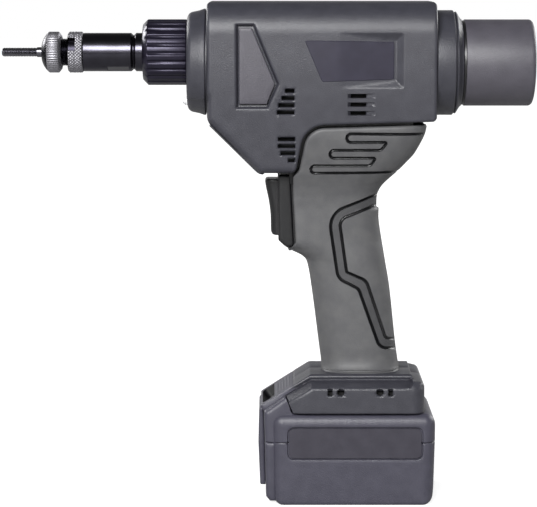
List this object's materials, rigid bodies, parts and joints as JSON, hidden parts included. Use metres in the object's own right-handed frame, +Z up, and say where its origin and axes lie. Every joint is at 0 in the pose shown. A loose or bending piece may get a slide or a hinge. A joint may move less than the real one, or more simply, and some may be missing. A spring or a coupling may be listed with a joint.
{
  "type": "battery blind rivet nut tool",
  "caption": "Pistol-grip battery tool that sets blind rivet nuts: threaded mandrel in a knurled nose, soft handle with trigger, slide-on battery at the foot.",
  "frame": {"origin": "middle of the battery's flat base, on the plane that the tool stands on", "axes": "+Z up from the base towards the head; -X along the nose, the way the mandrel points; +Y towards the tool's right side, so the pictured side faces -Y"},
  "size_m": [0.3399, 0.073, 0.3215],
  "materials": {
    "moulded_nylon": "dark grey moulded plastic with a fine spark-eroded texture",
    "soft_grip": "matt dark grey soft-touch overmould",
    "dark_plastic": "matt black-grey plastic",
    "label_plate": "bare dark printed plate, satin",
    "clear_epoxy": "clear lamp epoxy",
    "black_steel": "black oxide, polished",
    "gunmetal_steel": "gun-metal grey, knurled",
    "black_anodised": "blue-black anodised",
    "bright_steel": "ground",
    "cast_alloy": "die cast",
    "brass": "machined",
    "copper": "drawn copper alloy",
    "circuit_board": "green solder mask",
    "cell_wrap": "plastic sleeve over a steel can"
  },
  "bodies": {
    "housing": {"left_shell": "moulded_nylon", "right_shell": "moulded_nylon", "front_cover": "moulded_nylon", "rear_flange": "moulded_nylon", "rear_cap": "moulded_nylon", "left_side_panel": "moulded_nylon", "right_side_panel": "moulded_nylon", "left_grip": "soft_grip", "right_grip": "soft_grip", "trigger_bezel": "dark_plastic", "trigger_switch": "dark_plastic", "terminal_block": "dark_plastic", "left_label_plate": "label_plate", "right_label_plate": "label_plate", "work_light": "clear_epoxy", "nose_barrel": "black_steel", "ring_gear": "gunmetal_steel", "pull_motor": "gunmetal_steel", "spin_motor": "gunmetal_steel", "housing_screws": "bright_steel", "thrust_bearing": "bright_steel", "nut_bearing": "bright_steel", "trigger_spring": "bright_steel", "gear_case_front": "cast_alloy", "gear_case_rear": "cast_alloy", "pull_gearbox": "cast_alloy", "gearbox_cover": "cast_alloy", "motor_bracket": "cast_alloy", "screw_guide": "brass", "terminal_blades": "copper", "control_board": "circuit_board"},
    "battery": {"battery_lower_case": "moulded_nylon", "battery_upper_case": "moulded_nylon", "battery_cells": "cell_wrap", "cell_holder": "dark_plastic", "cell_straps": "bright_steel", "battery_board": "circuit_board", "contact_clips": "copper", "battery_screws": "bright_steel", "button_spring": "bright_steel"},
    "release_button": {"release_button": "dark_plastic"},
    "trigger": {"trigger": "dark_plastic"},
    "drive_nut": {"ball_nut": "bright_steel", "nut_gear": "gunmetal_steel"},
    "pull_screw": {"pull_screw": "bright_steel", "chuck_retainer": "gunmetal_steel"},
    "mandrel": {"mandrel": "black_steel", "mandrel_chuck": "gunmetal_steel"},
    "drive_pinion": {"drive_pinion": "gunmetal_steel"},
    "spin_shaft": {"hex_shaft": "bright_steel", "planet_carrier": "gunmetal_steel"},
    "rotor": {"spin_rotor": "copper", "sun_gear": "brass"},
    "planet_1": {"planet_gear_1": "brass"},
    "planet_2": {"planet_gear_2": "brass"},
    "planet_3": {"planet_gear_3": "brass"},
    "anvil_bush": {"anvil_bush": "black_steel"},
    "nosepiece": {"nosepiece": "gunmetal_steel"},
    "lock_ring": {"lock_ring": "gunmetal_steel"},
    "collar": {"fluted_collar": "black_anodised"}
  },
  "joints": [
    {"name": "trigger_pull", "type": "slide", "parent": "housing", "child": "trigger", "axis": [1, 0, 0], "range_m": [0, 0.006], "stiffness_N_per_m": 400, "springref_m": -0.004, "deforming": ["trigger_spring"]},
    {"name": "battery_slide", "type": "slide", "parent": "housing", "child": "battery", "axis": [-1, 0, 0], "range_m": [0, 0.095]},
    {"name": "release_press", "type": "slide", "parent": "battery", "child": "release_button", "axis": [0, 0, -1], "range_m": [0, 0.004], "stiffness_N_per_m": 800, "springref_m": -0.003, "deforming": ["button_spring"]},
    {"name": "nut_turn", "type": "hinge", "parent": "housing", "child": "drive_nut", "pos_m": [-0.066, 0, 0.289], "axis": [1, 0, 0], "range_deg": [0, 960]},
    {"name": "pull_stroke", "type": "slide", "parent": "housing", "child": "pull_screw", "axis": [1, 0, 0], "range_m": [0, 0.008]},
    {"name": "pinion_turn", "type": "hinge", "parent": "housing", "child": "drive_pinion", "pos_m": [-0.066, 0, 0.256], "axis": [1, 0, 0], "range_deg": [-2560, 0]},
    {"name": "rotor_spin", "type": "hinge", "parent": "housing", "child": "rotor", "pos_m": [0.07, 0, 0.289], "axis": [1, 0, 0], "continuous": true},
    {"name": "spin_turn", "type": "hinge", "parent": "housing", "child": "spin_shaft", "pos_m": [0, 0, 0.289], "axis": [1, 0, 0], "continuous": true},
    {"name": "mandrel_spin", "type": "hinge", "parent": "pull_screw", "child": "mandrel", "pos_m": [-0.15, 0, 0.289], "axis": [1, 0, 0], "continuous": true},
    {"name": "planet_1_spin", "type": "hinge", "parent": "spin_shaft", "child": "planet_1", "pos_m": [0.049, 0.0096, 0.289], "axis": [1, 0, 0], "continuous": true},
    {"name": "planet_2_spin", "type": "hinge", "parent": "spin_shaft", "child": "planet_2", "pos_m": [0.049, -0.0048, 0.29731], "axis": [1, 0, 0], "continuous": true},
    {"name": "planet_3_spin", "type": "hinge", "parent": "spin_shaft", "child": "planet_3", "pos_m": [0.049, -0.0048, 0.28069], "axis": [1, 0, 0], "continuous": true},
    {"name": "nosepiece_travel", "type": "slide", "parent": "housing", "child": "anvil_bush", "axis": [-1, 0, 0], "range_m": [0, 0.004]},
    {"name": "nosepiece_turn", "type": "hinge", "parent": "anvil_bush", "child": "nosepiece", "pos_m": [-0.193, 0, 0.289], "axis": [1, 0, 0], "range_deg": [0, 1440]},
    {"name": "lock_ring_turn", "type": "hinge", "parent": "housing", "child": "lock_ring", "pos_m": [-0.178, 0, 0.289], "axis": [1, 0, 0], "range_deg": [0, 180]},
    {"name": "collar_turn", "type": "hinge", "parent": "housing", "child": "collar", "pos_m": [-0.121, 0, 0.289], "axis": [1, 0, 0], "range_deg": [0, 300]}
  ],
  "couplings": [
    {"joint": "pull_stroke", "follows": "nut_turn", "m_per_rad": 0.00047746},
    {"joint": "pinion_turn", "follows": "nut_turn", "ratio": -2.6667},
    {"joint": "spin_turn", "follows": "rotor_spin", "ratio": 0.25},
    {"joint": "mandrel_spin", "follows": "rotor_spin", "ratio": 0.25},
    {"joint": "planet_1_spin", "follows": "rotor_spin", "ratio": -0.75},
    {"joint": "planet_2_spin", "follows": "rotor_spin", "ratio": -0.75},
    {"joint": "planet_3_spin", "follows": "rotor_spin", "ratio": -0.75},
    {"joint": "nosepiece_travel", "follows": "nosepiece_turn", "m_per_rad": 0.00015915}
  ]
}
